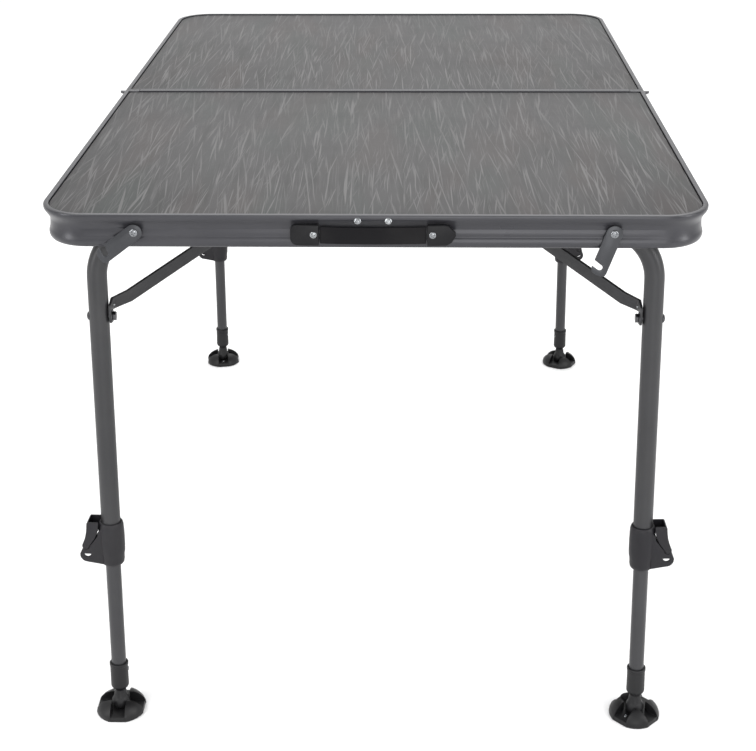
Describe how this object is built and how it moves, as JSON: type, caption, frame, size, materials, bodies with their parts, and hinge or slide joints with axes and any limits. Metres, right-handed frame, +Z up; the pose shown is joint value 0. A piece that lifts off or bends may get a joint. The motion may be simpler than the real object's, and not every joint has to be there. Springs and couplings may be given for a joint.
{
  "type": "folding table",
  "caption": "Folding table: two hinged board-and-rail halves on U-shaped telescopic leg frames with sliding braces, flip clamps, swivel feet, latch hooks and a carrying handle.",
  "frame": {"origin": "on the floor under the middle of the open table", "axes": "+X across the table, +Y along it away from the carrying handle, +Z up"},
  "size_m": [0.816, 1.2392, 0.727],
  "materials": {
    "board_laminate": "matt laminate with pale fibre print",
    "rail_metal": "satin dark grey anodised or coated extrusion",
    "front_cap_plastic": "moulded, grey",
    "rear_cap_plastic": "moulded, darker grey",
    "bearing_plastic": "moulded, dark grey",
    "upper_tube_metal": "satin dark grey powder coat",
    "lower_tube_metal": "satin dark grey anodised",
    "brace_metal": "satin dark grey powder coat",
    "pin_steel": "zinc plated",
    "slider_metal": "dark coat",
    "clamp_plastic": "moulded, fine grain",
    "sleeve_plastic": "moulded, dark",
    "foot_rubber_plastic": "moulded, near black",
    "strap_plastic": "ribbed soft strap",
    "handle_cap_plastic": "moulded, slightly glossy",
    "hinge_steel": "zinc plated",
    "hook_steel": "satin grey coated steel",
    "stud_steel": "zinc plated"
  },
  "bodies": {
    "front_top": {"front_rail": "rail_metal", "front_mid_rail": "rail_metal", "front_board": "board_laminate", "front_guide": "rail_metal", "front_left_bearing": "bearing_plastic", "front_right_bearing": "bearing_plastic", "front_left_seam_cap": "front_cap_plastic", "front_right_seam_cap": "front_cap_plastic", "front_hinge_leaf_left": "hinge_steel", "front_hinge_leaf_right": "hinge_steel", "handle_strap": "strap_plastic", "handle_cap_left": "handle_cap_plastic", "handle_cap_right": "handle_cap_plastic"},
    "rear_top": {"rear_rail": "rail_metal", "rear_mid_rail": "rail_metal", "rear_board": "board_laminate", "rear_guide": "rail_metal", "rear_left_bearing": "bearing_plastic", "rear_right_bearing": "bearing_plastic", "rear_left_seam_cap": "rear_cap_plastic", "rear_right_seam_cap": "rear_cap_plastic", "rear_hinge_leaf_left": "hinge_steel", "rear_hinge_leaf_right": "hinge_steel", "rear_stud_left": "stud_steel", "rear_stud_right": "stud_steel"},
    "front_legs": {"front_leg_frame": "upper_tube_metal", "front_left_clamp": "clamp_plastic", "front_right_clamp": "clamp_plastic", "front_left_brace_pin": "pin_steel", "front_right_brace_pin": "pin_steel"},
    "front_braces": {"front_left_brace": "brace_metal", "front_right_brace": "brace_metal"},
    "front_brace_slider": {"front_slider": "slider_metal"},
    "rear_legs": {"rear_leg_frame": "upper_tube_metal", "rear_left_clamp": "clamp_plastic", "rear_right_clamp": "clamp_plastic", "rear_left_brace_pin": "pin_steel", "rear_right_brace_pin": "pin_steel"},
    "rear_braces": {"rear_left_brace": "brace_metal", "rear_right_brace": "brace_metal"},
    "rear_brace_slider": {"rear_slider": "slider_metal"},
    "front_left_lower_leg": {"front_left_lower_tube": "lower_tube_metal", "front_left_foot_sleeve": "sleeve_plastic"},
    "front_left_swivel_foot": {"front_left_foot": "foot_rubber_plastic"},
    "front_left_lever": {"front_left_clamp_lever": "clamp_plastic"},
    "front_right_lower_leg": {"front_right_lower_tube": "lower_tube_metal", "front_right_foot_sleeve": "sleeve_plastic"},
    "front_right_swivel_foot": {"front_right_foot": "foot_rubber_plastic"},
    "front_right_lever": {"front_right_clamp_lever": "clamp_plastic"},
    "rear_left_lower_leg": {"rear_left_lower_tube": "lower_tube_metal", "rear_left_foot_sleeve": "sleeve_plastic"},
    "rear_left_swivel_foot": {"rear_left_foot": "foot_rubber_plastic"},
    "rear_left_lever": {"rear_left_clamp_lever": "clamp_plastic"},
    "rear_right_lower_leg": {"rear_right_lower_tube": "lower_tube_metal", "rear_right_foot_sleeve": "sleeve_plastic"},
    "rear_right_swivel_foot": {"rear_right_foot": "foot_rubber_plastic"},
    "rear_right_lever": {"rear_right_clamp_lever": "clamp_plastic"},
    "latch_left": {"hook_left": "hook_steel"},
    "latch_right": {"hook_right": "hook_steel"}
  },
  "joints": [
    {"name": "top_fold", "type": "hinge", "parent": "front_top", "child": "rear_top", "pos_m": [0, 0, 0.6823], "axis": [1, 0, 0], "range_deg": [-70, 0]},
    {"name": "front_leg_fold", "type": "hinge", "parent": "front_top", "child": "front_legs", "pos_m": [0, -0.5515, 0.698], "axis": [1, 0, 0], "range_deg": [0, 91]},
    {"name": "front_brace_swing", "type": "hinge", "parent": "front_legs", "child": "front_braces", "pos_m": [0, -0.55728, 0.581], "axis": [1, 0, 0], "range_deg": [-114.2, 0]},
    {"name": "front_slider_level", "type": "hinge", "parent": "front_braces", "child": "front_brace_slider", "pos_m": [0, -0.29, 0.692], "axis": [1, 0, 0], "range_deg": [0, 23.2]},
    {"name": "rear_leg_fold", "type": "hinge", "parent": "rear_top", "child": "rear_legs", "pos_m": [0, 0.5515, 0.698], "axis": [-1, 0, 0], "range_deg": [0, 91]},
    {"name": "rear_brace_swing", "type": "hinge", "parent": "rear_legs", "child": "rear_braces", "pos_m": [0, 0.55728, 0.581], "axis": [-1, 0, 0], "range_deg": [-114.2, 0]},
    {"name": "rear_slider_level", "type": "hinge", "parent": "rear_braces", "child": "rear_brace_slider", "pos_m": [0, 0.29, 0.692], "axis": [-1, 0, 0], "range_deg": [0, 23.2]},
    {"name": "front_left_extension", "type": "slide", "parent": "front_legs", "child": "front_left_lower_leg", "axis": [0.0232, 0.0494, 0.9985], "range_m": [0, 0.162]},
    {"name": "front_left_foot_tilt", "type": "hinge", "parent": "front_left_lower_leg", "child": "front_left_swivel_foot", "pos_m": [-0.35568, -0.58531, 0.014], "axis": [1, 0, 0], "range_deg": [-15, 15]},
    {"name": "front_left_lever_flip", "type": "hinge", "parent": "front_legs", "child": "front_left_lever", "pos_m": [-0.38241, -0.57301, 0.2629], "axis": [0, 0.9988, -0.0494], "range_deg": [-100, 0]},
    {"name": "front_right_extension", "type": "slide", "parent": "front_legs", "child": "front_right_lower_leg", "axis": [-0.0232, 0.0494, 0.9985], "range_m": [0, 0.162]},
    {"name": "front_right_foot_tilt", "type": "hinge", "parent": "front_right_lower_leg", "child": "front_right_swivel_foot", "pos_m": [0.35568, -0.58531, 0.014], "axis": [1, 0, 0], "range_deg": [-15, 15]},
    {"name": "front_right_lever_flip", "type": "hinge", "parent": "front_legs", "child": "front_right_lever", "pos_m": [0.38241, -0.57301, 0.2629], "axis": [0, -0.9988, 0.0494], "range_deg": [-100, 0]},
    {"name": "rear_left_extension", "type": "slide", "parent": "rear_legs", "child": "rear_left_lower_leg", "axis": [0.0232, -0.0494, 0.9985], "range_m": [0, 0.162]},
    {"name": "rear_left_foot_tilt", "type": "hinge", "parent": "rear_left_lower_leg", "child": "rear_left_swivel_foot", "pos_m": [-0.35568, 0.58531, 0.014], "axis": [-1, 0, 0], "range_deg": [-15, 15]},
    {"name": "rear_left_lever_flip", "type": "hinge", "parent": "rear_legs", "child": "rear_left_lever", "pos_m": [-0.38241, 0.57301, 0.2629], "axis": [0, 0.9988, 0.0494], "range_deg": [-100, 0]},
    {"name": "rear_right_extension", "type": "slide", "parent": "rear_legs", "child": "rear_right_lower_leg", "axis": [-0.0232, -0.0494, 0.9985], "range_m": [0, 0.162]},
    {"name": "rear_right_foot_tilt", "type": "hinge", "parent": "rear_right_lower_leg", "child": "rear_right_swivel_foot", "pos_m": [0.35568, 0.58531, 0.014], "axis": [-1, 0, 0], "range_deg": [-15, 15]},
    {"name": "rear_right_lever_flip", "type": "hinge", "parent": "rear_legs", "child": "rear_right_lever", "pos_m": [0.38241, 0.57301, 0.2629], "axis": [0, -0.9988, -0.0494], "range_deg": [-100, 0]},
    {"name": "latch_swing_left", "type": "hinge", "parent": "front_top", "child": "latch_left", "pos_m": [-0.283, -0.5978, 0.7045], "axis": [0, 1, 0], "range_deg": [-141, 35]},
    {"name": "latch_swing_right", "type": "hinge", "parent": "front_top", "child": "latch_right", "pos_m": [0.283, -0.5978, 0.7045], "axis": [0, 1, 0], "range_deg": [-107, 69]}
  ],
  "couplings": [
    {"joint": "front_brace_swing", "follows": "front_leg_fold", "ratio": -1.2527},
    {"joint": "front_slider_level", "follows": "front_leg_fold", "ratio": 0.25274},
    {"joint": "rear_brace_swing", "follows": "rear_leg_fold", "ratio": -1.2527},
    {"joint": "rear_slider_level", "follows": "rear_leg_fold", "ratio": 0.25274},
    {"joint": "front_left_extension", "follows": "front_leg_fold", "m_per_rad": 0.102},
    {"joint": "front_right_extension", "follows": "front_leg_fold", "m_per_rad": 0.102},
    {"joint": "rear_left_extension", "follows": "rear_leg_fold", "m_per_rad": 0.102},
    {"joint": "rear_right_extension", "follows": "rear_leg_fold", "m_per_rad": 0.102}
  ]
}
